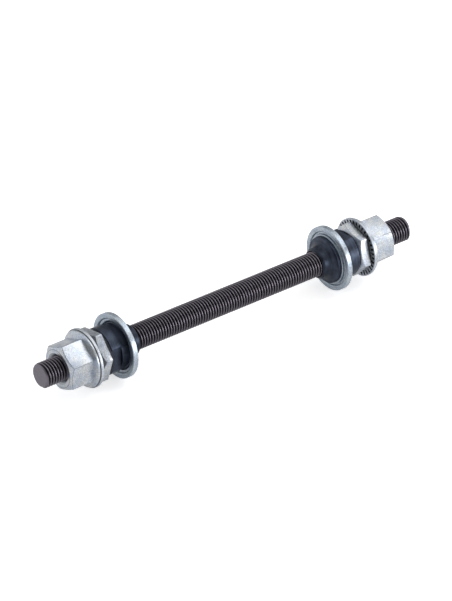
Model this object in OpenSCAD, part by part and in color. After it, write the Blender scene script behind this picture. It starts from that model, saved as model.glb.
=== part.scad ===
// Bicycle hub axle with its bearing cones, dust caps, locknuts, washers and wheel nuts.
// The axle lies along Y with its middle at the origin. Left is -Y and right is +Y.
// Each side is drawn upright: its own Z runs outboard from the middle of the hub.

/* [Axle] */
// Length of the axle
axle_len = 140; // [136:1:180]
// Outer diameter of the axle's thread
axle_d = 8; // [7:0.5:9]
// Chamfer at each end of the axle
axle_chamfer = 0.5; // [0.2:0.1:0.8]
// How far the bearing set sits from the axle's middle, along Y
hub_shift = -0.6; // [-2:0.1:2]

/* [Cone] */
// Distance from the middle of the hub to the tip of a cone's nose
cone_start = 35.2; // [30:0.1:37]
// Whole length of a cone
cone_len = 12.25; // [11:0.05:13]
// Diameter of the nose collar in front of the race
nose_d = 10; // [9.6:0.1:10.6]
// Length of the nose collar, up to where the race begins
nose_len = 1.4; // [0.8:0.1:1.6]
// Radius of the ball race in section
race_r = 2.4; // [2.2:0.1:2.4]
// Diameter of the seat that the dust cap is pressed on
seat_d = 15; // [14.8:0.1:15.2]
// Length of the seat, counted from the race's lip
seat_len = 2; // [1.6:0.1:2.4]
// Depth of the neck below the seat, between the seat and the body
neck_cut = 0.4; // [0.3:0.1:0.8]
// Diameter of the body that carries the spanner flats
body_d = 15.2; // [15:0.1:16]
// Length of the body
body_len = 3.6; // [3:0.1:4]
// Distance across the two spanner flats
cone_flats = 13; // [12:0.1:14]
// Turn of the left cone's flats about the axle, in degrees
left_cone_turn = 0; // [0:1:179]
// Turn of the right cone's flats about the axle, in degrees
right_cone_turn = 85; // [0:1:179]

/* [Dust cap] */
// How far the cap's rim stands out from its tube
cap_reach = 2.33; // [1.83:0.05:3.33]
// Thickness of the sheet that the cap is pressed from
cap_sheet = 0.6; // [0.5:0.05:0.7]
// Diameter of the rolled bead round the cap's edge
bead_d = 1.8; // [1.4:0.1:2]
// Length of the cap's tube, from its inboard edge to the middle of the sheet
tube_len = 1.3; // [1.1:0.1:1.4]
// Distance from the middle of the hub to the tube's inboard edge
cap_start = 39.9; // [39.6:0.1:40]

/* [Spacer and locknuts] */
// Outer diameter of the left spacer
spacer_d = 15; // [12:0.1:16]
// Thickness of the left spacer
spacer_t = 0.9; // [0.7:0.05:1.2]
// Distance across the flats of a locknut
lock_flats = 15.1; // [14:0.1:17]
// Thickness of a locknut
lock_t = 3.3; // [2.6:0.1:3.3]
// Gap between the right cone and its locknut
right_lock_gap = 0.25; // [0.05:0.05:0.6]
// Turn of the left locknut about the axle, in degrees
left_lock_turn = 12; // [0:1:59]
// Turn of the right locknut about the axle, in degrees
right_lock_turn = 14; // [0:1:59]

/* [Toothed washer] */
// Outer diameter of a toothed washer
washer_d = 19; // [18:0.1:22]
// Thickness of a toothed washer
washer_t = 0.9; // [0.8:0.05:1.2]
// Number of teeth round a washer
tooth_count = 36; // [24:1:40]
// Depth of the grooves between the teeth
tooth_depth = 0.4; // [0.2:0.05:0.5]
// Length of a tooth, along a radius
tooth_len = 1.4; // [1:0.1:1.6]
// Width of the plain rim outside the teeth
tooth_rim = 0.45; // [0.3:0.05:0.6]
// Gap between the left locknut and its washer
left_washer_gap = 0.75; // [0.05:0.05:0.9]
// Gap between the right locknut and its washer
right_washer_gap = 0.7; // [0.05:0.05:0.9]

/* [Wheel nut] */
// Distance across the flats of a wheel nut
nut_flats = 13.6; // [12.6:0.1:14]
// Whole height of a wheel nut with its flange
nut_h = 9.3; // [7:0.05:11]
// Outer diameter of the flange
flange_d = 18.2; // [17.4:0.1:20]
// Height of the flange's straight rim
rim_h = 0.6; // [0.4:0.1:0.9]
// Rise of the flange's cone, for each millimetre towards the axle
cone_rise = 0.25; // [0.1:0.05:0.6]
// Diameter of the countersink at the nut's mouth
mouth_d = 9.8; // [9.2:0.1:10.2]
// Turn of the left wheel nut about the axle, in degrees
left_nut_turn = 24; // [0:1:59]
// Turn of the right wheel nut about the axle, in degrees
right_nut_turn = 20; // [0:1:59]

/* [Nut corners] */
// How far the round end face of a nut stays inside its flats
corner_cut = 0.7; // [0.2:0.1:1]

/* [Fits] */
// Radial clearance of every nut, cone and washer on the axle
thread_clear = 0.05; // [0.02:0.01:0.1]
// Radial clearance of the dust cap on the cone's seat
seat_clear = 0.02; // [0.01:0.01:0.05]
// Gap between faces that touch
face_gap = 0.05; // [0.02:0.01:0.05]

/* [Hidden] */
$fn = 96;
bore_r = axle_d / 2 + thread_clear;
race_start = cone_start + nose_len;
race_end = race_start + race_r;
body_start = cone_start + cone_len - body_len;
cone_end = cone_start + cone_len;
spacer_start = cone_end + face_gap;
left_lock_start = spacer_start + spacer_t + face_gap;
right_lock_start = cone_end + right_lock_gap;
left_washer_start = left_lock_start + lock_t + left_washer_gap;
right_washer_start = right_lock_start + lock_t + right_washer_gap;
left_nut_start = left_washer_start + washer_t + face_gap;
right_nut_start = right_washer_start + washer_t + face_gap;
edge_break = 0.25;
nose_chamfer = 0.6;
cut = 1;

// Turns a side's upright drawing so that its Z points out along -Y or +Y.
module left_side() {
    translate([0, hub_shift, 0]) rotate([90, 0, 0]) children();
}

module right_side() {
    translate([0, hub_shift, 0]) rotate([-90, 0, 0]) children();
}

module bore(from, to, r = bore_r) {
    translate([0, 0, from - cut]) cylinder(r = r, h = to - from + 2 * cut);
}

// A hexagonal prism whose outboard corners are turned down to a round face.
module hex_prism(flats, from, to) {
    corner_r = flats / sqrt(3);
    face_r = flats / 2 - corner_cut;
    wide_r = face_r + (to - from + cut) / tan(30);
    intersection() {
        translate([0, 0, from]) cylinder(r = corner_r, h = to - from, $fn = 6);
        translate([0, 0, from - cut]) cylinder(r1 = wide_r, r2 = 0, h = wide_r * tan(30));
    }
}

module axle() {
    r = axle_d / 2;
    color("dimgray") rotate([90, 0, 0]) union() {
        cylinder(r = r, h = axle_len - 2 * axle_chamfer, center = true);
        for (end = [-1, 1])
            rotate([90 - 90 * end, 0, 0]) translate([0, 0, axle_len / 2 - axle_chamfer])
                cylinder(r1 = r, r2 = r - axle_chamfer * 0.8, h = axle_chamfer);
    }
}

// Nose collar, concave race, seat, neck and a body with two spanner flats.
module cone(turn) {
    nose_r = nose_d / 2;
    seat_r = seat_d / 2;
    body_r = body_d / 2;
    color("darkslategray") rotate([0, 0, turn]) difference() {
        union() {
            translate([0, 0, cone_start])
                cylinder(r1 = nose_r - nose_chamfer, r2 = nose_r, h = nose_chamfer);
            translate([0, 0, cone_start + nose_chamfer])
                cylinder(r = nose_r, h = race_end - cone_start - nose_chamfer);
            difference() {
                translate([0, 0, race_start]) cylinder(r = seat_r, h = race_r + seat_len);
                rotate_extrude() translate([nose_r + race_r, race_start]) circle(r = race_r);
            }
            translate([0, 0, race_end]) cylinder(r = seat_r - neck_cut, h = body_start - race_end + cut);
            translate([0, 0, body_start]) cylinder(r = body_r, h = body_len - edge_break);
            translate([0, 0, cone_end - edge_break])
                cylinder(r1 = body_r, r2 = body_r - edge_break, h = edge_break);
        }
        bore(cone_start, cone_end);
        for (side = [-1, 1])
            translate([side * (cone_flats / 2 + body_r), 0, body_start + body_len / 2 + cut / 2])
                cube([2 * body_r, 2 * body_r, body_len + cut], center = true);
    }
}

// A tube pressed on the seat, a flat ring and a rolled bead.
module dust_cap() {
    tube_in = seat_d / 2 + seat_clear;
    tube_out = tube_in + cap_sheet;
    cap_r = tube_out + cap_reach;
    bead_r = bead_d / 2;
    sheet_mid = cap_start + tube_len;
    color("lightsteelblue") difference() {
        union() {
            translate([0, 0, cap_start]) cylinder(r = tube_out, h = tube_len + cap_sheet / 2);
            translate([0, 0, sheet_mid - cap_sheet / 2])
                cylinder(r = cap_r - bead_r, h = cap_sheet);
            rotate_extrude() translate([cap_r - bead_r, sheet_mid]) circle(r = bead_r);
        }
        bore(cap_start, sheet_mid + bead_r, tube_in);
        translate([0, 0, sheet_mid - cap_sheet / 2])
            cylinder(r1 = tube_in, r2 = tube_out, h = cap_sheet);
    }
}

module spacer() {
    color("black") difference() {
        translate([0, 0, spacer_start]) cylinder(d = spacer_d, h = spacer_t);
        bore(spacer_start, spacer_start + spacer_t);
    }
}

// The corners are turned down on one face, which points outboard unless the nut is flipped.
module locknut(from, turn, flip = 0) {
    half = lock_t / 2;
    color("silver") rotate([0, 0, turn]) translate([0, 0, from + half]) rotate([180 * flip, 0, 0])
        difference() {
            hex_prism(lock_flats, -half, half);
            bore(-half, half);
        }
}

// A flat ring with radial grooves sunk in its inboard face, just inside the edge.
module toothed_washer(from) {
    washer_r = washer_d / 2;
    groove_in = washer_r - tooth_rim - tooth_len;
    groove_w = PI * washer_d / tooth_count / 2;
    color("gray") difference() {
        translate([0, 0, from]) cylinder(r = washer_r, h = washer_t);
        bore(from, from + washer_t);
        for (i = [0 : tooth_count - 1])
            rotate([0, 0, i * 360 / tooth_count])
                translate([groove_in, -groove_w / 2, from - cut])
                    cube([tooth_len, groove_w, tooth_depth + cut]);
    }
}

// A hexagon that grows out of a round flange, with a countersunk mouth.
module wheel_nut(from, turn) {
    to = from + nut_h;
    flange_r = flange_d / 2;
    round_r = 0.35;
    top_r = nut_flats / 2 * 0.8;
    cone_h = (flange_r - round_r - top_r) * cone_rise;
    color("whitesmoke") rotate([0, 0, turn]) difference() {
        union() {
            hex_prism(nut_flats, from, to);
            translate([0, 0, from]) cylinder(r = flange_r, h = rim_h);
            translate([0, 0, from + rim_h])
                cylinder(r1 = flange_r, r2 = flange_r - round_r, h = round_r / 2);
            translate([0, 0, from + rim_h + round_r / 2])
                cylinder(r1 = flange_r - round_r, r2 = top_r, h = cone_h);
        }
        bore(from, to);
        translate([0, 0, to - mouth_d / 2 + bore_r])
            cylinder(r1 = bore_r, r2 = mouth_d / 2 + cut, h = mouth_d / 2 - bore_r + cut);
    }
}

axle();
left_side() cone(left_cone_turn);  // left_cone
right_side() cone(right_cone_turn);  // right_cone
left_side() dust_cap();  // left_dust_cap
right_side() dust_cap();  // right_dust_cap
left_side() spacer();  // left_spacer
left_side() locknut(left_lock_start, left_lock_turn);  // left_locknut
right_side() locknut(right_lock_start, right_lock_turn, 1);  // right_locknut
left_side() toothed_washer(left_washer_start);  // left_washer
right_side() toothed_washer(right_washer_start);  // right_washer
left_side() wheel_nut(left_nut_start, left_nut_turn);  // left_nut
right_side() wheel_nut(right_nut_start, right_nut_turn);  // right_nut
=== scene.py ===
# %% [markdown]
# # A bicycle hub axle, dressed for the camera
#
# The object is the axle of a bicycle wheel's hub: a threaded steel rod, and on each end a bearing cone, a pressed
# dust cap, a locknut, a toothed washer and a flanged wheel nut. The CAD model already has every size. This lesson
# adds what a plain solid lacks: the thread, the small rounded edges that catch the light, and the metal finishes.
#
# The imported CAD model is loaded first and stays as it is. Its box is kept.

import math

import bmesh
import bpy
from mathutils import Matrix, Vector


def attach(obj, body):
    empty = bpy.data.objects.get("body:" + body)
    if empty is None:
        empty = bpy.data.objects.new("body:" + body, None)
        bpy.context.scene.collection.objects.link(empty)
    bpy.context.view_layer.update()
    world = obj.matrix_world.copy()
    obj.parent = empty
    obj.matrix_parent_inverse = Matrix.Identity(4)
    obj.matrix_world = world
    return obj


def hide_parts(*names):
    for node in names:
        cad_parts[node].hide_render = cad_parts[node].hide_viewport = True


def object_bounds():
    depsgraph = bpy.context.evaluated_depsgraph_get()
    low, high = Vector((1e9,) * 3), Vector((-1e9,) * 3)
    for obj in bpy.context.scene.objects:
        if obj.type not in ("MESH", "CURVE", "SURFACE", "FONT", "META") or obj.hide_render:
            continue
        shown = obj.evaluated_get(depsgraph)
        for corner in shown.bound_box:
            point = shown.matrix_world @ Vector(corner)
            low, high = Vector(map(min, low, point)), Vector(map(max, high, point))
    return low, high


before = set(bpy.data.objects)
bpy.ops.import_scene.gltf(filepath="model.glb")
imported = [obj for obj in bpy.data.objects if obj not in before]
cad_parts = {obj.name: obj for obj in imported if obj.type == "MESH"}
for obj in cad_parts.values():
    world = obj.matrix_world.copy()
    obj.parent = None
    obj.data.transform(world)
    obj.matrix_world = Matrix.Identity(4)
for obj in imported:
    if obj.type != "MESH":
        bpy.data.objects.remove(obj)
cad_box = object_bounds()
MM = 0.001
scene = bpy.context.scene


def in_mm(box):
    return [[round(v / MM, 2) for v in corner] for corner in box]


print("CAD nodes:", len(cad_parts), "box in mm:", in_mm(cad_box))

# %% [markdown]
# ## The camera
#
# The photograph looks down on the axle from its left end, at 32 degrees, through a long lens. The distance and the
# lens were found by matching the thread's pitch and the two sets of rims in the photograph, so they are written as
# numbers here. The camera is turned to look at the middle of the axle, and Z stays upright in the picture.

# %% Make the camera
AZIMUTH, ELEVATION, DISTANCE = math.radians(52.513), math.radians(32.190), 1.545
LENS, SENSOR = 302.3, 36
OFF_MIDDLE = Vector((0.00009, 0.00005, -0.00003))
towards_camera = Vector((math.sin(AZIMUTH) * math.cos(ELEVATION),
                         -math.cos(AZIMUTH) * math.cos(ELEVATION), math.sin(ELEVATION)))
camera_data = bpy.data.cameras.new("camera")
camera_data.sensor_fit = "VERTICAL"
camera_data.sensor_height = SENSOR
camera_data.lens = LENS
camera = bpy.data.objects.new("camera", camera_data)
camera.location = towards_camera * DISTANCE + OFF_MIDDLE
camera.rotation_euler = towards_camera.to_track_quat("Z", "Y").to_euler()
scene.collection.objects.link(camera)
scene.camera = camera
scene.view_settings.view_transform = "Standard"
print("camera at", [round(v, 4) for v in camera.location], "lens", camera_data.lens)

# %% [markdown]
# ## Working in edit mode
#
# Every piece is made with the same few steps as by hand. An operator acts on all that is selected, so a piece is
# first selected alone. Spins and cuts leave corners on top of each other and faces that look inwards, so doubles are
# merged and then the normals are recalculated. A modifier is added, set and applied at once. Smooth shading stops at
# edges that are sharper than a given angle, which keeps turned faces round and flats flat.

# %% Helpers for edit mode
SAME_POINT = 0.0005 * MM


def only(obj):
    bpy.ops.object.select_all(action="DESELECT")
    obj.select_set(True)
    bpy.context.view_layer.objects.active = obj


def clean_mesh():
    bpy.ops.mesh.select_all(action="SELECT")
    bpy.ops.mesh.remove_doubles(threshold=SAME_POINT)
    bpy.ops.mesh.normals_make_consistent(inside=False)


def use_modifier(obj, kind, **settings):
    only(obj)
    bpy.ops.object.modifier_add(type=kind)
    modifier = obj.modifiers[-1]
    for key, value in settings.items():
        setattr(modifier, key, value)
    bpy.ops.object.modifier_apply(modifier=modifier.name)


def smooth(obj, angle=30):
    only(obj)
    bpy.ops.object.shade_smooth_by_angle(angle=math.radians(angle))


print("corners nearer than", round(SAME_POINT / MM, 5), "mm are one corner")

# %% [markdown]
# ## One turn of the thread
#
# The rod has a rolled right-hand thread of 8 mm with a turn every millimetre, from end to end. Its flanks stand at
# about 60 degrees to each other, with a narrow flat crest and a slightly wider root. A bump texture would be lighter,
# but the thread also shows in the outline, so it is real geometry.
#
# It starts from the section of one turn, an outline of points that are each a radius and a height in millimetres. A
# plane is shrunk to one point, and that point is extruded from corner to corner. A curve object would do the same, but
# an outline of points keeps each size where it can be read.

# %% Draw one turn of the thread
AXLE_LEN, AXLE_R, ROOT_R, PITCH = 140.0, 4.0, 3.42, 1.0
CREST, FLANK, ROOT, TURNS = 0.14, 0.33, 0.2, 143


def drawn(name, outline):
    """Draws an open line through (radius, height) in mm, and stays in edit mode."""
    bpy.ops.object.select_all(action="DESELECT")
    bpy.ops.mesh.primitive_plane_add(size=MM)
    obj = bpy.context.object
    obj.name = obj.data.name = name
    bpy.ops.object.mode_set(mode="EDIT")
    bpy.ops.mesh.select_mode(type="VERT")
    bpy.ops.mesh.select_all(action="SELECT")
    bpy.ops.mesh.merge(type="CENTER")
    bpy.ops.transform.translate(value=(outline[0][0] * MM, 0, outline[0][1] * MM))
    for (r0, z0), (r1, z1) in zip(outline, outline[1:]):
        bpy.ops.mesh.extrude_vertices_move(
            TRANSFORM_OT_translate={"value": ((r1 - r0) * MM, 0, (z1 - z0) * MM)})
    return obj


start = -TURNS / 2 * PITCH
section = [(AXLE_R, start), (AXLE_R, start + CREST), (ROOT_R, start + CREST + FLANK),
           (ROOT_R, start + CREST + FLANK + ROOT), (AXLE_R, start + PITCH)]
axle = drawn("threaded_axle", section)
bpy.ops.object.mode_set(mode="OBJECT")
print("one turn of the thread has", len(axle.data.vertices), "corners")

# %% [markdown]
# ## The axle's thread
#
# The Screw modifier carries the section round and up 143 times, and a plane then cuts the rod square just past each
# end. The real parts are closed solids, and their meshes have to be closed as well. So each piece tells how many of
# its edges are open, how large it is and how much metal it holds.

# %% Cut the thread
TURN_STEPS, PAST_END, CUT_SLACK = 56, 0.4, 0.0001 * MM


def tell(obj):
    low = [min(v.co[i] for v in obj.data.vertices) / MM for i in range(3)]
    high = [max(v.co[i] for v in obj.data.vertices) / MM for i in range(3)]
    bm = bmesh.new()
    bm.from_mesh(obj.data)
    open_edges = sum(1 for edge in bm.edges if not edge.is_manifold)
    print(obj.name, "faces", len(bm.faces), "open edges", open_edges,
          "from", [round(v, 2) for v in low], "to", [round(v, 2) for v in high], "mm",
          "volume", round(bm.calc_volume(signed=True) / MM ** 3, 1), "mm3")
    bm.free()


use_modifier(axle, "SCREW", axis="Z", angle=math.tau, screw_offset=PITCH * MM, iterations=TURNS,
             steps=TURN_STEPS, render_steps=TURN_STEPS, use_merge_vertices=False)
bpy.ops.object.mode_set(mode="EDIT")
bpy.ops.mesh.select_all(action="SELECT")
bpy.ops.mesh.remove_doubles(threshold=SAME_POINT)
for end in (-1, 1):
    bpy.ops.mesh.select_all(action="SELECT")
    bpy.ops.mesh.bisect(plane_co=(0, 0, end * (AXLE_LEN / 2 + PAST_END) * MM), plane_no=(0, 0, end),
                        use_fill=True, clear_outer=True, threshold=CUT_SLACK)
clean_mesh()
bpy.ops.object.mode_set(mode="OBJECT")
tell(axle)

# %% [markdown]
# ## The axle's ends
#
# On the real axle the ends are cut off and chamfered, so that a nut finds its start. Bevelling the threads there
# would tear them. So a slightly thicker rod with coned ends is made, by extruding both faces of a cylinder and making
# them smaller, and of the thread only what lies inside that rod is kept.

# %% Make the rod with coned ends
CHAMFER, KEEP_R, KEEP_TIP_R = 0.75, 4.2, 3.6
bpy.ops.object.select_all(action="DESELECT")
bpy.ops.mesh.primitive_cylinder_add(vertices=96, radius=KEEP_R * MM, depth=(AXLE_LEN - 2 * CHAMFER) * MM)
keep = bpy.context.object
keep.name = keep.data.name = "coned_rod"
bpy.ops.object.mode_set(mode="EDIT")
for end in (-1, 1):
    bpy.ops.mesh.select_mode(type="FACE")
    bpy.ops.mesh.select_all(action="DESELECT")
    bm = bmesh.from_edit_mesh(keep.data)
    for face in bm.faces:
        face.select_set(face.normal.z * end > 0.9)
    bmesh.update_edit_mesh(keep.data)
    bpy.ops.mesh.extrude_region_move(TRANSFORM_OT_translate={"value": (0, 0, end * CHAMFER * MM)})
    bpy.ops.transform.resize(value=(KEEP_TIP_R / KEEP_R, KEEP_TIP_R / KEEP_R, 1))
bpy.ops.object.mode_set(mode="OBJECT")
tell(keep)

# %% [markdown]
# ## A finished piece
#
# A finished piece has its place in its mesh. It is told which body of the CAD model it rides on and which CAD node it
# stands for, and that node is hidden. The axle lies along Y, so it is turned by 90 degrees first.

# %% Chamfer the axle and lay it down
def finished(piece, node, body):
    bpy.ops.object.transform_apply(location=True, rotation=True, scale=True)
    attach(piece, body)
    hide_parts(node)
    tell(piece)


use_modifier(axle, "BOOLEAN", operation="INTERSECT", object=keep, solver="EXACT")
bpy.data.objects.remove(keep)
smooth(axle, 25)
axle.matrix_world = Matrix.Rotation(math.radians(90), 4, "X")
finished(axle, "axle", "axle")

# %% [markdown]
# ## Turning on a lathe
#
# Most of the other pieces are turned parts, so they are made the way a lathe makes them: half of the section is drawn
# as a closed outline, and that outline is spun round the Z axis. Its rounded stretches are short arcs of a few
# points. A Screw modifier would do the same, but a spin leaves a mesh that can be cut straight away.

# %% Spin an outline
def arc(radius, height, size, start, end, points):
    """Corners of a rounded stretch of an outline, from one angle to another, in degrees."""
    angles = [math.radians(start + (end - start) * i / (points - 1)) for i in range(points)]
    return [(radius + size * math.cos(a), height + size * math.sin(a)) for a in angles]


def turned(name, outline, steps=96):
    """Spins a closed outline of (radius, height) in mm round Z."""
    obj = drawn(name, outline + outline[:1])
    bpy.ops.mesh.select_all(action="SELECT")
    bpy.ops.mesh.remove_doubles(threshold=SAME_POINT)
    bpy.ops.mesh.select_all(action="SELECT")
    bpy.ops.mesh.spin(steps=steps, angle=math.tau, center=(0, 0, 0), axis=(0, 0, 1))
    clean_mesh()
    bpy.ops.object.mode_set(mode="OBJECT")
    return obj


print("a quarter round of 1 mm:", [(round(r, 2), round(z, 2)) for r, z in arc(0, 0, 1, 0, 90, 3)])

# %% [markdown]
# ## From the lathe to the axle
#
# Each piece is made upright, with Z running outboard from the middle of the hub. The hub sits 0.6 mm to the left of
# the axle's middle. One piece serves both ends, as in the real set, so it is turned to lie along Y and copied, each
# copy with its own mesh. It is only ever rotated, never mirrored. A turn about its own axis sets its flats as they
# stand in the photograph, and a flip puts its other face outboard.

# %% Place a piece on its side of the hub
HUB_SHIFT = -0.6
LIE_DOWN = {"left": 90, "right": -90}


def place(made, node, body, turn=0, height=0, flip=False):
    side = node.split("_")[0]
    only(made)
    bpy.ops.object.duplicate()
    piece = bpy.context.object
    piece.name = piece.data.name = node + "_finished"
    piece.matrix_world = (Matrix.Translation((0, HUB_SHIFT * MM, 0))
                          @ Matrix.Rotation(math.radians(LIE_DOWN[side]), 4, "X")
                          @ Matrix.Rotation(math.radians(turn), 4, "Z")
                          @ Matrix.Translation((0, 0, height * MM))
                          @ Matrix.Rotation(math.pi if flip else 0, 4, "X"))
    finished(piece, node, body)
    return piece


def put_away(made):
    bpy.data.objects.remove(made)


print("the hub's middle is at", HUB_SHIFT, "mm along the axle")

# %% [markdown]
# ## The bearing cones
#
# A cone screws onto the axle and carries the balls on a concave race. From the inboard tip: a short collar with a
# chamfer, the race, a seat that the dust cap is pressed on, a slightly thinner neck, and a round body with two flats
# for a thin spanner. All of it is turned and ground, so the outline is spun. It is drawn in six stretches, and the
# small numbers in them are the chamfers and rounded edges.

# %% Turn a cone
BORE_R, TIP_R, NOSE_R, SEAT_R, NECK_R, BODY_R = 4.05, 4.4, 5.0, 7.5, 7.1, 7.6
CONE_START, RACE_START, RACE_END, SEAT_END, BODY_START, CONE_END = 35.2, 36.6, 39.0, 41.0, 43.85, 47.45
RACE_MID_R, RACE_SIZE = 7.4, 2.4
nose = [(BORE_R, CONE_START + 0.25), (BORE_R + 0.25, CONE_START), (TIP_R, CONE_START),
        (NOSE_R - 0.03, CONE_START + 0.55), (NOSE_R, CONE_START + 0.65), (NOSE_R, RACE_START)]
race = arc(RACE_MID_R, RACE_START, RACE_SIZE, 176, 92, 12)
seat = arc(SEAT_R - 0.08, RACE_END + 0.08, 0.08, 270, 360, 4) + [(SEAT_R, SEAT_END - 0.1), (SEAT_R - 0.08, SEAT_END)]
neck = [(NECK_R, SEAT_END + 0.1), (NECK_R, BODY_START - 0.1), (NECK_R + 0.08, BODY_START)]
body = ([(BODY_R - 0.1, BODY_START)] + arc(BODY_R - 0.1, BODY_START + 0.1, 0.1, -60, 0, 3)
        + [(BODY_R, CONE_END - 0.3)] + arc(BODY_R - 0.25, CONE_END - 0.25, 0.25, 10, 80, 4))
back = [(BORE_R + 0.3, CONE_END), (BORE_R, CONE_END - 0.3)]
cone = turned("cone", nose + race + seat + neck + body + back)
tell(cone)

# %% [markdown]
# ## The cones' spanner flats
#
# The two flats are milled after turning, and stop where the round body does. A block that holds both cutters is taken
# away from the cone with a Boolean: one cube is placed on one side and copied to the other. Plane cuts would be
# quicker, but they would go on through the neck and the seat.

# %% Cut the cone's spanner flats
CONE_FLATS = 13.0
CUTTER = Vector((4, 20, 6))
CUTTER_MID = BODY_START + CUTTER.z / 2
bpy.ops.object.select_all(action="DESELECT")
bpy.ops.mesh.primitive_cube_add(size=1)
block = bpy.context.object
block.dimensions = CUTTER * MM
block.location = ((CONE_FLATS / 2 + CUTTER.x / 2) * MM, 0, CUTTER_MID * MM)
bpy.ops.object.transform_apply(location=True, rotation=True, scale=True)
bpy.ops.object.mode_set(mode="EDIT")
bpy.ops.mesh.select_all(action="SELECT")
bpy.ops.mesh.duplicate_move(TRANSFORM_OT_translate={"value": (-(CONE_FLATS + CUTTER.x) * MM, 0, 0)})
bpy.ops.object.mode_set(mode="OBJECT")
use_modifier(cone, "BOOLEAN", operation="DIFFERENCE", object=block, solver="EXACT")
bpy.data.objects.remove(block)
tell(cone)

# %% [markdown]
# ## Broken edges
#
# No real edge is sharp. On steel it is broken with a file or in the tumbling barrel. A narrow bevel of two segments on
# every sharp edge catches a line of light as the real one does. On the hexagons the bevel's faces get a material place
# of their own, which is painted a darker grey later and draws the fine grey lines between the flats. Two empty places
# are made before the bevel, and the finishes fill them later.
#
# The cones' edges are broken first, and then the two cones are done.

# %% Break the cone's edges and place both cones
def break_edges(obj, width, above=22, dark_edges_and_gap_shade=False):
    # On the hexagons the bevel's faces get a place of their own, which is painted a darker grey later.
    if dark_edges_and_gap_shade:
        obj.data.materials.append(None)
        obj.data.materials.append(None)
    use_modifier(obj, "BEVEL", width=width * MM, segments=2, limit_method="ANGLE",
                 angle_limit=math.radians(above), use_clamp_overlap=True, material=1 if dark_edges_and_gap_shade else -1)
    smooth(obj)


break_edges(cone, 0.07, above=50)
left_cone = place(cone, "left_cone", "left_cone", turn=0)
right_cone = place(cone, "right_cone", "right_cone", turn=85)
put_away(cone)

# %% [markdown]
# ## The dust caps
#
# A dust cap is pressed from thin sheet: a short tube grips the cone's seat, the sheet spreads out from it as a flat
# ring, and its edge is rolled over into a bead, which the press leaves flat on the outside. That flat band is what
# shines in the photograph. Where the bead closes on the ring it leaves a fine crease, which the outline has as a small
# notch on both faces. A flat ring with a Solidify modifier would miss the roll, so this is another spun outline.

# %% Spin a dust cap
TUBE_IN, TUBE_OUT, TUBE_START, TUBE_EDGE, TUBE_BEND = 7.52, 8.12, 39.9, 0.12, 0.45
SHEET_MID, SHEET = 41.2, 0.3
CREASE_R, CREASE_WIDTH, CREASE_DEPTH = 8.64, 0.1, 0.16
BEAD_MID, BEAD_R, BEAD_FLAT = 9.55, 0.9, 0.65
ROLL_R, ROLL_MID, ROLL_RISE = 0.5, BEAD_MID - 0.3, 0.4
low, high = SHEET_MID - SHEET, SHEET_MID + SHEET
tube = ([(TUBE_IN, TUBE_START + TUBE_EDGE), (TUBE_IN + TUBE_EDGE, TUBE_START),
         (TUBE_OUT - TUBE_EDGE, TUBE_START), (TUBE_OUT, TUBE_START + TUBE_EDGE)]
        + arc(TUBE_OUT + 0.25, low - 0.25, 0.25, 180, 90, 5))
bead = ([(CREASE_R, low), (CREASE_R + CREASE_WIDTH, low + CREASE_DEPTH)]
        + arc(ROLL_MID, SHEET_MID - ROLL_RISE, ROLL_R, 205, 270, 6)
        + arc(BEAD_MID + BEAD_FLAT, SHEET_MID - BEAD_FLAT, BEAD_R - BEAD_FLAT, 270, 360, 6)
        + arc(BEAD_MID + BEAD_FLAT, SHEET_MID + BEAD_FLAT, BEAD_R - BEAD_FLAT, 0, 90, 6)
        + arc(ROLL_MID, SHEET_MID + ROLL_RISE, ROLL_R, 90, 155, 6)
        + [(CREASE_R + CREASE_WIDTH, high - CREASE_DEPTH), (CREASE_R, high)])
bend = ([(TUBE_OUT + 0.12, high)] + arc(TUBE_OUT + 0.08, high - TUBE_BEND, TUBE_BEND, 100, 175, 5)
        + [(TUBE_IN, low - 0.1)])
cap = turned("dust_cap", tube + bead + bend)
smooth(cap, 32)
left_cap = place(cap, "left_dust_cap", "left_bearing_set")
right_cap = place(cap, "right_dust_cap", "right_bearing_set")
put_away(cap)

# %% [markdown]
# ## The spacer
#
# Between the left cone and its locknut lies one thin black ring, with its outer edges broken. It is punched, but as it
# is round, a spun outline of six points makes it.

# %% Spin the spacer
SPACER_START, SPACER_END, SPACER_R, SPACER_EDGE = 47.5, 48.4, 7.5, 0.15
ring = turned("spacer", [(BORE_R, SPACER_START), (SPACER_R - SPACER_EDGE, SPACER_START),
                         (SPACER_R, SPACER_START + SPACER_EDGE), (SPACER_R, SPACER_END - SPACER_EDGE),
                         (SPACER_R - SPACER_EDGE, SPACER_END), (BORE_R, SPACER_END)])
smooth(ring)
spacer = place(ring, "left_spacer", "left_bearing_set")
put_away(ring)

# %% [markdown]
# ## Nuts from bar
#
# A hexagon nut starts as a turned blank with a coned end, and its six flats are cut afterwards. The flats meet the
# cone in the curved lines that every real nut has at its corners. The same order works here, and the blank stands 0.1
# mm proud of the corners, so that the flats meet in a clean edge. A six-sided cylinder would need its corners shaved
# by hand. The first blank is that of the locknuts.

# %% Turn the locknut's blank
LOCK_FLATS, LOCK_HALF, CORNER_CUT = 15.1, 1.65, 0.7
BLANK_OVER, BLANK_EDGE, BORE_EDGE = 0.1, 0.2, 0.4
CONED_END = math.tan(math.radians(30))
corner, face_r = LOCK_FLATS / math.sqrt(3), LOCK_FLATS / 2 - CORNER_CUT
blank_r = corner + BLANK_OVER
coned = LOCK_HALF - (blank_r - face_r) * CONED_END
lock = turned("locknut", [(BORE_R, -LOCK_HALF + BORE_EDGE), (BORE_R + BORE_EDGE, -LOCK_HALF),
                          (corner - BLANK_OVER, -LOCK_HALF), (blank_r, -LOCK_HALF + BLANK_EDGE),
                          (blank_r, coned), (face_r, LOCK_HALF),
                          (BORE_R + BORE_EDGE, LOCK_HALF), (BORE_R, LOCK_HALF - BORE_EDGE)])
tell(lock)

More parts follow.
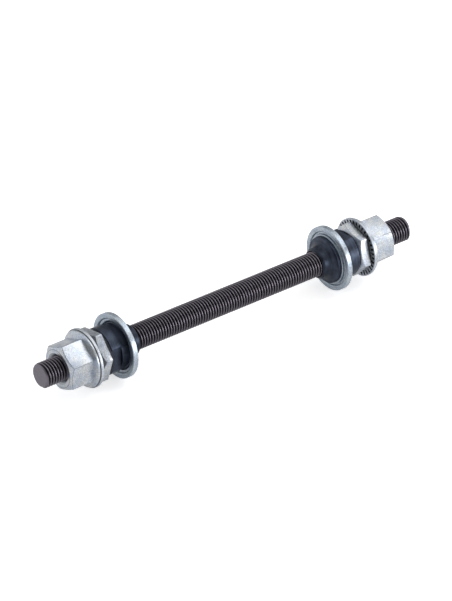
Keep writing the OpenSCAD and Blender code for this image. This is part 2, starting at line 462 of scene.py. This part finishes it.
# %% [markdown]
# ## The locknuts
#
# A locknut is a thin hexagon that is tightened against the cone to hold it where it is. A plane cuts off each of the
# six sides, and each cut is closed by a face. One end is coned and shows the turned corners, and the other is flat.
# The right one is fitted the other way round, as in the photograph, so it is flipped.

# %% Cut the locknuts' flats
LEFT_LOCK_START, RIGHT_LOCK_START = 48.45, 47.7


def cut_flats(obj, across, first=30):
    only(obj)
    bpy.ops.object.mode_set(mode="EDIT")
    for i in range(6):
        angle = math.radians(first + 60 * i)
        normal = (math.cos(angle), math.sin(angle), 0)
        bpy.ops.mesh.select_all(action="SELECT")
        bpy.ops.mesh.bisect(plane_co=tuple(n * across / 2 * MM for n in normal), plane_no=normal,
                            use_fill=True, clear_outer=True, threshold=CUT_SLACK)
    clean_mesh()
    bpy.ops.object.mode_set(mode="OBJECT")


cut_flats(lock, LOCK_FLATS)
break_edges(lock, 0.08, dark_edges_and_gap_shade=True)
left_lock = place(lock, "left_locknut", "left_locknut", turn=12,
                  height=LEFT_LOCK_START + LOCK_HALF)
right_lock = place(lock, "right_locknut", "right_locknut", turn=14,
                   height=RIGHT_LOCK_START + LOCK_HALF, flip=True)
put_away(lock)

# %% [markdown]
# ## The wheel nuts' hexagon
#
# The wheel nuts clamp the wheel in the frame. Each is a hexagon that grows out of a round flange with a coned back,
# and its mouth is countersunk. The hexagon is made as the locknuts are, and starts a little inside the flange.

# %% Make the wheel nut's hexagon
NUT_H, NUT_FLATS, MOUTH_R, HEX_START = 9.3, 13.6, 4.9, 0.3
corner, face_r = NUT_FLATS / math.sqrt(3), NUT_FLATS / 2 - CORNER_CUT
blank_r = corner + BLANK_OVER
coned = NUT_H - (blank_r - face_r) * CONED_END
nut = turned("wheel_nut", [(BORE_R, HEX_START), (blank_r, HEX_START), (blank_r, coned), (face_r, NUT_H),
                           (MOUTH_R, NUT_H), (BORE_R, NUT_H - (MOUTH_R - BORE_R))])
cut_flats(nut, NUT_FLATS)
break_edges(nut, 0.1, dark_edges_and_gap_shade=True)
tell(nut)

# %% [markdown]
# ## The wheel nuts' flange
#
# The real nut is forged in one piece, and its flats run out on the cone of the flange in a curved line. A Boolean
# union draws that line by itself, so the flange is spun alone, with a rounded rim and its bore a little wide, and
# then joined to the hexagon.

# %% Join the flange to the hexagon
FLANGE_R, RIM, RIM_EDGE, RIM_ROUND, RIM_BREAK = 9.1, 0.6, 0.35, 0.28, 0.15
CONE_RISE, CONE_TOP_R, FLANGE_BORE_R = 0.25, 5.0, BORE_R + 0.3
LEFT_NUT_START, RIGHT_NUT_START = 53.45, 52.65
flange_top = RIM + RIM_EDGE / 2 + (FLANGE_R - RIM_EDGE - CONE_TOP_R) * CONE_RISE
flange = turned("flange", [(FLANGE_BORE_R, 0), (FLANGE_R - RIM_BREAK, 0), (FLANGE_R, RIM_BREAK),
                           (FLANGE_R, RIM - RIM_BREAK)]
                + arc(FLANGE_R - RIM_ROUND, RIM - RIM_BREAK, RIM_ROUND, 15, 75, 5)
                + [(CONE_TOP_R, flange_top), (FLANGE_BORE_R, flange_top)])
use_modifier(nut, "BOOLEAN", operation="UNION", object=flange, solver="EXACT")
bpy.data.objects.remove(flange)
smooth(nut)
left_nut = place(nut, "left_nut", "left_nut", turn=24, height=LEFT_NUT_START)
right_nut = place(nut, "right_nut", "right_nut", turn=20, height=RIGHT_NUT_START)
put_away(nut)

# %% [markdown]
# ## The toothed washers
#
# The washer under each wheel nut bites into the frame with a ring of radial teeth on its inboard face. The grooves
# between them stop just short of the edge, so the washer keeps a plain rim. A thin ring is spun first, with four steps
# to a tooth. Then all of its face but every second stretch of one band is raised together, which leaves the grooves
# with no seam anywhere. Teeth made one by one with an Array modifier would have to be welded to the ring.

# %% Spin the washer's blank
WASHER_T, WASHER_R, WASHER_EDGE = 0.9, 9.5, 0.12
TOOTH, TEETH, TOOTH_OUT, TOOTH_IN = 0.4, 36, 9.05, 7.65
washer = turned("toothed_washer", [(BORE_R, TOOTH), (TOOTH_IN, TOOTH), (TOOTH_OUT, TOOTH), (WASHER_R, TOOTH),
                                   (WASHER_R, WASHER_T - WASHER_EDGE), (WASHER_R - WASHER_EDGE, WASHER_T),
                                   (BORE_R, WASHER_T)],
                steps=TEETH * 4)
tell(washer)

# %% [markdown]
# ## Raising the teeth
#
# Each tooth with its groove is one share of the circle, and the middle half of the share becomes the tooth. The faces
# to raise are found by where they look, how far they are from the middle, and where they are in their share.

# %% Raise the washer's teeth
HALF_TOOTH = 0.25
LEFT_WASHER_START, RIGHT_WASHER_START = 52.5, 51.7
only(washer)
bpy.ops.object.mode_set(mode="EDIT")
bpy.ops.mesh.select_mode(type="FACE")
bpy.ops.mesh.select_all(action="DESELECT")
bm = bmesh.from_edit_mesh(washer.data)
for part in bm.faces:
    middle = part.calc_center_median()
    in_band = TOOTH_IN * MM < middle.xy.length < TOOTH_OUT * MM
    share = math.degrees(math.atan2(middle.y, middle.x)) / (360 / TEETH) % 1
    part.select_set(part.normal.z < -0.9 and not (in_band and abs(share - 0.5) > HALF_TOOTH))
bmesh.update_edit_mesh(washer.data)
bpy.ops.mesh.extrude_region_move(TRANSFORM_OT_translate={"value": (0, 0, -TOOTH * MM)})
clean_mesh()
bpy.ops.object.mode_set(mode="OBJECT")
break_edges(washer, 0.06, above=40)
left_washer = place(washer, "left_washer", "left_washer", height=LEFT_WASHER_START)
right_washer = place(washer, "right_washer", "right_washer", height=RIGHT_WASHER_START)
put_away(washer)

# %% [markdown]
# ## Colours and nodes
#
# Hex colours are read off as they look on a screen, and Blender wants them linear, so one function converts them. One
# more function adds a node with its settings and its links, which keeps each material short enough to read. A
# pattern's scale is always worked out from the real size of its features.

# %% Helpers for materials
def linear(hex_colour):
    """An sRGB hex colour as linear red, green, blue and alpha."""
    values = [int(hex_colour[i:i + 2], 16) / 255 for i in (0, 2, 4)]
    return [v / 12.92 if v <= 0.04045 else ((v + 0.055) / 1.055) ** 2.4 for v in values] + [1]


def add(tree, kind, inputs=(), **settings):
    """Adds a node. inputs gives each socket a value, or the (node, output) that feeds it."""
    made = tree.nodes.new("ShaderNode" + kind)
    for key, value in settings.items():
        setattr(made, key, value)
    for key, value in dict(inputs).items():
        if isinstance(value, tuple) and isinstance(value[0], bpy.types.Node):
            tree.links.new(value[0].outputs[value[1]], made.inputs[key])
        else:
            made.inputs[key].default_value = value
    return made


def new_material(name):
    material = bpy.data.materials.new(name)
    material.use_nodes = True
    material.node_tree.nodes.clear()
    return material, material.node_tree


def per_mm(size):
    """A pattern's scale from the size of its features in millimetres."""
    return 1 / (size * MM)


print("mid grey 808080 is", round(linear("808080")[0], 3), "linear, and a 1 mm pattern has the scale", per_mm(1))

# %% [markdown]
# ## Zinc plate
#
# Nuts are tumbled in a barrel and plated with zinc, then dipped in a clear blue passivation. The plate is pale and
# silky: it has no mirror, but soft reflections broken up by tiny dents. A slow cloud of 3 mm shifts the colour between
# a neutral and a bluish grey, as the passivation's thickness does. The grain of the plate is nearer 0.1 mm on the
# real nuts, but it is drawn at 0.35 mm so that it shows, and it changes the shade, the shine and the bump together.
# The dust caps are bluer and smoother, because they are pressed from sheet. The toothed washers get a rougher plate,
# because they are punched and left as they are.

# %% Zinc materials
CLOUD_SIZE, GRAIN_SIZE, DENT_DEPTH = 3.0, 0.35, 0.05 * MM


def zinc_plate(name, neutral, bluish, roughness, dents):
    material, tree = new_material(name)
    place_on = add(tree, "TexCoord")
    cloud = add(tree, "TexNoise", {"Vector": (place_on, "Object"), "Scale": per_mm(CLOUD_SIZE), "Detail": 3.0})
    tint = add(tree, "ValToRGB", {"Fac": (cloud, "Fac")})
    tint.color_ramp.elements[0].position, tint.color_ramp.elements[1].position = 0.35, 0.65
    tint.color_ramp.elements[0].color = linear(neutral)
    tint.color_ramp.elements[1].color = linear(bluish)
    grain = add(tree, "TexNoise", {"Vector": (place_on, "Object"), "Scale": per_mm(GRAIN_SIZE), "Detail": 2.0})
    shade = add(tree, "MapRange", {"Value": (grain, "Fac"), "From Min": 0.35, "From Max": 0.65,
                                   "To Min": 0.68, "To Max": 1.12})
    speckled = add(tree, "VectorMath", {0: (tint, "Color"), "Scale": (shade, "Result")}, operation="SCALE")
    rough = add(tree, "MapRange", {"Value": (grain, "Fac"), "From Min": 0.3, "From Max": 0.7,
                                   "To Min": roughness - 0.06, "To Max": roughness + 0.06})
    bump = add(tree, "Bump", {"Height": (grain, "Fac"), "Strength": dents, "Distance": DENT_DEPTH})
    shader = add(tree, "BsdfPrincipled", {"Base Color": (speckled, "Vector"), "Metallic": 1.0,
                                          "Roughness": (rough, "Result"), "Normal": (bump, "Normal")})
    add(tree, "OutputMaterial", {"Surface": (shader, "BSDF")})
    return material


BRIGHT_ZINC = zinc_plate("bright_zinc_plate", "CACDCF", "B6BFCD", 0.34, 0.5)
BLUED_ZINC = zinc_plate("blued_zinc_plate", "BBC4CC", "A7B3C1", 0.4, 0.25)
GREY_ZINC = zinc_plate("grey_zinc_plate", "D0D4DA", "B8BFC9", 0.5, 0.5)
print("zinc materials:", BRIGHT_ZINC.name, BLUED_ZINC.name, GREY_ZINC.name)

# %% [markdown]
# ## Black oxide on turned steel
#
# The cones are turned and ground, then blackened in hot salts. The oxide is so thin that the tool's rings still show
# through it, and it shines blue-black. The rings follow the radius on a face and the length on a cylinder, so a noise
# is read along those two and stays the same all the way round. Real rings are about 0.05 mm apart, too fine for this
# picture, so they are drawn at 0.25 mm. The nose is painted darker than the body, as painted shade for the hollow next
# to the axle, and it fades out along the race, between 5.1 and 6.5 mm from the middle. The spacer gets a darker,
# duller black.

# %% Black oxide materials
STAIN_SIZE, RING_SIZE, RING_DEPTH = 2.0, 0.25, 0.03 * MM
NOSE_SHADE_R, SHADE_FADED_R = 5.1 * MM, 6.5 * MM


def from_middle(tree, split):
    """The distance from the axle's middle line, which lies along Y."""
    across = add(tree, "CombineXYZ", {"X": (split, "X"), "Z": (split, "Z")})
    return add(tree, "VectorMath", {0: (across, "Vector")}, operation="LENGTH")


def black_oxide(name, dark, light, roughness):
    material, tree = new_material(name)
    place_on = add(tree, "TexCoord")
    split = add(tree, "SeparateXYZ", {"Vector": (place_on, "Object")})
    radius = from_middle(tree, split)
    rings_at = add(tree, "CombineXYZ", {"X": (radius, "Value"), "Y": (split, "Y")})
    rings = add(tree, "TexNoise", {"Vector": (rings_at, "Vector"), "Scale": per_mm(RING_SIZE), "Detail": 2.0})
    cloud = add(tree, "TexNoise", {"Vector": (place_on, "Object"), "Scale": per_mm(STAIN_SIZE), "Detail": 3.0})
    tint = add(tree, "ValToRGB", {"Fac": (cloud, "Fac")})
    tint.color_ramp.elements[0].position, tint.color_ramp.elements[1].position = 0.35, 0.7
    tint.color_ramp.elements[0].color = linear(dark)
    tint.color_ramp.elements[1].color = linear(light)
    shade = add(tree, "MapRange", {"Value": (rings, "Fac"), "From Min": 0.3, "From Max": 0.7,
                                   "To Min": 0.7, "To Max": 1.3})
    # Painted shade on the nose and the race: 0.7 at 5.1 mm from the middle, fading to none at 6.5 mm.
    nose_shade = add(tree, "MapRange", {"Value": (radius, "Value"), "From Min": NOSE_SHADE_R, "From Max": SHADE_FADED_R,
                                     "To Min": 0.7, "To Max": 1.0})
    shade = add(tree, "Math", {0: (shade, "Result"), 1: (nose_shade, "Result")}, operation="MULTIPLY")
    ringed = add(tree, "VectorMath", {0: (tint, "Color"), "Scale": (shade, "Value")}, operation="SCALE")
    rough = add(tree, "MapRange", {"Value": (rings, "Fac"), "From Min": 0.3, "From Max": 0.7,
                                   "To Min": roughness - 0.05, "To Max": roughness + 0.07})
    bump = add(tree, "Bump", {"Height": (rings, "Fac"), "Strength": 0.2, "Distance": RING_DEPTH})
    shader = add(tree, "BsdfPrincipled", {"Base Color": (ringed, "Vector"), "Metallic": 1.0,
                                          "Roughness": (rough, "Result"), "Normal": (bump, "Normal")})
    add(tree, "OutputMaterial", {"Surface": (shader, "BSDF")})
    return material


BLACK_OXIDE = black_oxide("black_oxide_on_turned_steel", "373C47", "434B5A", 0.41)
SPACER_OXIDE = black_oxide("black_oxide_on_punched_steel", "2B2C31", "36383E", 0.5)
print("black oxide materials:", BLACK_OXIDE.name, SPACER_OXIDE.name)

# %% [markdown]
# ## Black oxide on a rolled thread
#
# On the axle the same black coat sits on a rolled thread. The crests and the two cut ends are paler, and the roots
# black. So the colour follows the radius, black below 3.6 mm and grey at the crest, and over the last 0.4 mm at either
# end it turns grey as well. A noise of 0.5 mm makes the pale parts patchy.

# %% Thread material
ROOT_BLACK_R, CREST_GREY_R = 3.6 * MM, 3.98 * MM
END_BLACK, END_GREY = (AXLE_LEN / 2 - 0.4) * MM, (AXLE_LEN / 2 - 0.2) * MM
PATCH_SIZE = 0.5


def threaded_oxide(name, root, crest):
    material, tree = new_material(name)
    place_on = add(tree, "TexCoord")
    split = add(tree, "SeparateXYZ", {"Vector": (place_on, "Object")})
    radius = from_middle(tree, split)
    worn = add(tree, "TexNoise", {"Vector": (place_on, "Object"), "Scale": per_mm(PATCH_SIZE), "Detail": 3.0})
    height = add(tree, "MapRange", {"Value": (radius, "Value"), "From Min": ROOT_BLACK_R, "From Max": CREST_GREY_R})
    along = add(tree, "Math", {0: (split, "Y")}, operation="ABSOLUTE")
    at_end = add(tree, "MapRange", {"Value": (along, "Value"), "From Min": END_BLACK, "From Max": END_GREY,
                                    "To Max": 0.9})
    # Paler at the crests and the ends, and darker in the roots, by radius.
    paler = add(tree, "Math", {0: (height, "Result"), 1: (at_end, "Result")}, operation="MAXIMUM")
    patchy = add(tree, "MapRange", {"Value": (worn, "Fac"), "From Min": 0.3, "From Max": 0.7,
                                    "To Min": 0.75, "To Max": 1.0})
    amount = add(tree, "Math", {0: (paler, "Value"), 1: (patchy, "Result")}, operation="MULTIPLY")
    tint = add(tree, "ValToRGB", {"Fac": (amount, "Value")})
    tint.color_ramp.elements[0].color = linear(root)
    tint.color_ramp.elements[1].color = linear(crest)
    rough = add(tree, "MapRange", {"Value": (worn, "Fac"), "To Min": 0.38, "To Max": 0.5})
    shader = add(tree, "BsdfPrincipled", {"Base Color": (tint, "Color"), "Metallic": 1.0,
                                          "Roughness": (rough, "Result")})
    add(tree, "OutputMaterial", {"Surface": (shader, "BSDF")})
    return material


THREAD_OXIDE = threaded_oxide("black_oxide_on_rolled_thread", "29262B", "807B84")
print("thread material:", THREAD_OXIDE.name)

# %% [markdown]
# ## A finish for each piece
#
# Each kind of piece came out of its own bath, so each has one finish all over. It goes in the mesh's first material
# place. The hexagons already have that place, left empty by the bevel, and the other pieces get it here.

# %% Give each piece its finish
finishes = {THREAD_OXIDE: [axle], BLACK_OXIDE: [left_cone, right_cone], SPACER_OXIDE: [spacer],
            BLUED_ZINC: [left_cap, right_cap], GREY_ZINC: [left_washer, right_washer],
            BRIGHT_ZINC: [left_lock, right_lock, left_nut, right_nut]}
for material, dressed in finishes.items():
    for piece in dressed:
        if piece.data.materials:
            piece.data.materials[0] = material
        else:
            piece.data.materials.append(material)
    print(material.name, "on", [piece.name for piece in dressed])

# %% [markdown]
# ## Darker edges, and painted shade on the end faces
#
# The hexagons' bevelled edges get a darker grey zinc. The same grey is painted shade on the end faces that are pressed
# against another piece, for the shade in the narrow gap between them: the washers' smooth side, under the nut's
# flange, and the locknuts' outboard ends, which the frame is clamped on. Both give the fine dark lines that part these
# pieces.
# The faces are told by where they look, and they get the second material place. A painted mask would need an image.

# %% Darken the edges and paint shade on the end faces
# A darker zinc for the bevelled edges, and painted shade for the end faces pressed against another piece.
DARK_EDGE_AND_GAP_SHADE_ZINC = zinc_plate("zinc_with_dark_edges_and_painted_gap_shade", "93969B", "878B91", 0.5, 0.5)
for piece in (left_nut, right_nut, left_lock, right_lock):
    piece.data.materials[1] = DARK_EDGE_AND_GAP_SHADE_ZINC
for piece in (left_washer, right_washer):
    piece.data.materials.append(DARK_EDGE_AND_GAP_SHADE_ZINC)
# The pressed end faces are painted darker, as painted shade for the gap between the parts.
for piece, outboard in ((left_lock, -1), (right_lock, 1), (left_washer, -1), (right_washer, 1)):
    for part in piece.data.polygons:
        if part.normal.y * outboard > 0.8:
            part.material_index = 1
for piece in (left_nut, right_nut, left_lock, right_lock, left_washer, right_washer):
    print(piece.name, "rubbed faces", sum(part.material_index == 1 for part in piece.data.polygons))

# %% [markdown]
# ## Painted shade between the teeth
#
# The grooves between the washers' teeth are painted black, with little shine and no metal to be seen, as painted shade
# for the shade that falls deep in them. The grooves' faces are told by their distance from the tops of the teeth and
# from the middle, and get the third material place.

# %% Paint shade in the grooves
GROOVE_FROM, RIM_SLACK = 0.07 * MM, 0.02 * MM
GROOVE_SHADE, tree = new_material("painted_groove_shade")
# The groove colour is painted shade: near black and matt.
shader = add(tree, "BsdfPrincipled", {"Base Color": linear("232224"), "Roughness": 0.5})
add(tree, "OutputMaterial", {"Surface": (shader, "BSDF")})
for piece in (left_washer, right_washer):
    piece.data.materials.append(GROOVE_SHADE)
    tooth_tops = min(abs(v.co.y) for v in piece.data.vertices)
    for part in piece.data.polygons:
        inside = math.hypot(part.center.x, part.center.z) < TOOTH_OUT * MM + RIM_SLACK
        if part.material_index == 0 and inside and abs(part.center.y) > tooth_tops + GROOVE_FROM:
            part.material_index = 2
    print(piece.name, "shaded faces", sum(part.material_index == 2 for part in piece.data.polygons))

# %% [markdown]
# ## The floor
#
# The axle lies on its two dust caps on a white table. The photograph is cut out on white, so the floor is pale and
# adds light of its own for the camera, and a little for reflections, and keeps a faint shadow. The Light Path node
# tells whether the camera or a shiny surface sees the floor, and the light on the object stays as it is.

# %% Make the floor
FLOOR_SIZE, MIRRORED_LIFT, CAMERA_LIFT = 8, 0.25, 0.35


def seen_or_mirrored(tree):
    """The Light Path node, and a 1 for every ray that shows the surface itself."""
    path = add(tree, "LightPath")
    seen = add(tree, "Math", {0: (path, "Is Camera Ray"), 1: (path, "Is Glossy Ray")}, operation="MAXIMUM")
    return path, add(tree, "Math", {0: (seen, "Value"), 1: (path, "Is Transmission Ray")}, operation="MAXIMUM")


bpy.ops.object.select_all(action="DESELECT")
bpy.ops.mesh.primitive_plane_add(size=FLOOR_SIZE, location=(0, 0, cad_box[0][2]))
floor = bpy.context.object
floor.name = floor.data.name = "floor"
bpy.ops.object.transform_apply(location=True, rotation=True, scale=True)
paper, tree = new_material("white_paper")
path, seen = seen_or_mirrored(tree)
mirrored = add(tree, "Math", {0: (seen, "Value"), 1: MIRRORED_LIFT}, operation="MULTIPLY")
lift = add(tree, "Math", {0: (path, "Is Camera Ray"), 1: CAMERA_LIFT, 2: (mirrored, "Value")},
           operation="MULTIPLY_ADD")
matt = add(tree, "BsdfDiffuse", {"Color": linear("EDEDEE")})
glow = add(tree, "Emission", {"Strength": (lift, "Value")})
both = add(tree, "AddShader", {0: (matt, "BSDF"), 1: (glow, "Emission")})
add(tree, "OutputMaterial", {"Surface": (both, "Shader")})
floor.data.materials.append(paper)
print("floor at", round(cad_box[0][2] / MM, 2), "mm")

# %% [markdown]
# ## The world
#
# A white studio lights the part evenly from all round. The world is white for the camera and for reflections, by the
# same node as the floor, and a little dimmer as a light, so that pale zinc doesn't clip to white.

# %% Light the world
WORLD_LIGHT, WORLD_SEEN = 0.85, 1.0
world = bpy.data.worlds.new("white_studio")
scene.world = world
world.use_nodes = True
tree = world.node_tree
tree.nodes.clear()
_, seen = seen_or_mirrored(tree)
level = add(tree, "MapRange", {"Value": (seen, "Value"), "To Min": WORLD_LIGHT, "To Max": WORLD_SEEN})
light = add(tree, "Background", {"Color": linear("FFFFFF"), "Strength": (level, "Result")})
add(tree, "OutputWorld", {"Surface": (light, "Background")})
print("world lights at", WORLD_LIGHT, "and is seen at", WORLD_SEEN)

# %% [markdown]
# ## The lamps
#
# Metal shows what stands around it more than the light that falls on it. One soft lamp hangs over the far side and
# lights the upper flats. A low one stands at the right, just over the table, and draws the bright bands on the dust
# caps. Area lamps are used because their shape is what the metal mirrors.

# %% Set the lamps
def lamp(name, at, width, height, watts):
    bpy.ops.object.light_add(type="AREA", location=at)
    made = bpy.context.object
    made.name = name
    made.rotation_euler = Vector(at).to_track_quat("Z", "Y").to_euler()
    made.data.shape = "RECTANGLE"
    made.data.size, made.data.size_y = width, height
    made.data.energy = watts
    print(name, "radiance", round(watts / math.pi / width / height, 2))


lamp("lamp_over", (0.28, 0.75, 1.22), 0.85, 0.7, 3.5)
lamp("lamp_right", (1.0, 0.61, 0.2), 0.8, 0.4, 5.8)

# %% [markdown]
# ## The grey cards
#
# In an all-white room the black steel would look grey. Three grey cards stand in for the dark parts of the room that
# the real parts mirror: one behind the camera, one at the back left that gives the upper flats their grey, and one
# between the lamps that keeps the black steel dark. The camera doesn't see them.

# %% Set the cards
def card(name, at, width, height, grey):
    facing = Vector(at).to_track_quat("Z", "Y").to_euler()
    bpy.ops.object.select_all(action="DESELECT")
    bpy.ops.mesh.primitive_plane_add(size=1, location=at, rotation=facing)
    made = bpy.context.object
    made.name = made.data.name = name
    made.dimensions = (width, height, 0)
    bpy.ops.object.transform_apply(location=True, rotation=True, scale=True)
    paint, tree = new_material(name + "_paint")
    matt = add(tree, "BsdfDiffuse", {"Color": linear(grey)})
    add(tree, "OutputMaterial", {"Surface": (matt, "BSDF")})
    made.data.materials.append(paint)
    made.visible_camera = False
    print(name, width, "by", height, "m,", grey)


card("card_behind_camera", (0.615, -1.065, 0.768), 2.0, 1.0, "7D7D7D")
card("card_back_left", (-0.78, 0.48, 0.36), 0.9, 0.64, "A4A4A4")
card("card_between_lamps", (0.93, 0.74, 0.82), 1.2, 0.62, "B4B4B4")
